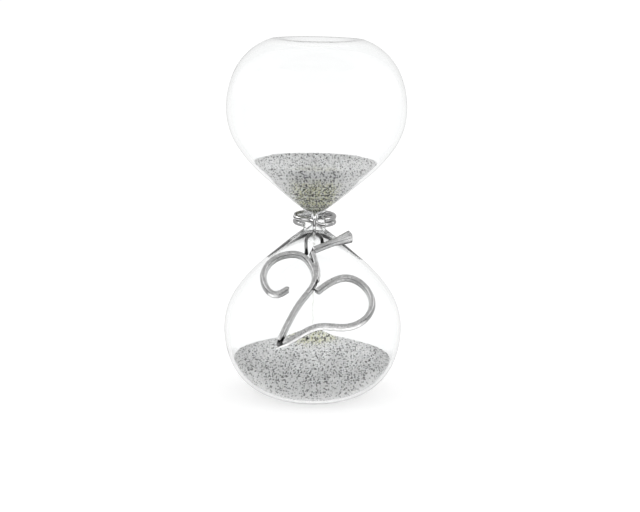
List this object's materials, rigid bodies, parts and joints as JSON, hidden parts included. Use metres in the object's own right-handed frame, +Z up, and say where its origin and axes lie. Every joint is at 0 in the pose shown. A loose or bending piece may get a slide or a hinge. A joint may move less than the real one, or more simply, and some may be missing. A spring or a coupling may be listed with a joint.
{
  "type": "hourglass",
  "caption": "Frameless blown-glass hourglass with bead sand running, and a cast number charm on a split ring round its waist.",
  "frame": {"origin": "centre of the flat foot that the lower bulb stands on", "axes": "+Z up along the hourglass's axis; the charm hangs on the -Y side"},
  "size_m": [0.075, 0.0854, 0.15],
  "materials": {
    "clear_glass": "polished",
    "bead_sand": "granular",
    "bright_wire": "polished",
    "cast_pewter": "antiqued"
  },
  "bodies": {
    "glass": {"upper_bulb": "clear_glass", "lower_bulb": "clear_glass", "upper_sand": "bead_sand", "sand_stream": "bead_sand", "lower_sand": "bead_sand"},
    "neck_ring": {"split_ring": "bright_wire"},
    "link": {"jump_ring": "bright_wire"},
    "charm": {"number_charm": "cast_pewter"}
  },
  "joints": [
    {"name": "neck_ring_spin", "type": "hinge", "parent": "glass", "child": "neck_ring", "pos_m": [0, 0, 0.075], "axis": [0, 0, 1], "continuous": true},
    {"name": "jump_ring_swing", "type": "hinge", "parent": "neck_ring", "child": "link", "pos_m": [0, -0.00808, 0.0749], "axis": [-1, 0, 0], "range_deg": [0, 55]},
    {"name": "charm_swing", "type": "hinge", "parent": "link", "child": "charm", "pos_m": [0, -0.01391, 0.06981], "axis": [0, -0.766, 0.6428], "range_deg": [-40, 40]}
  ]
}
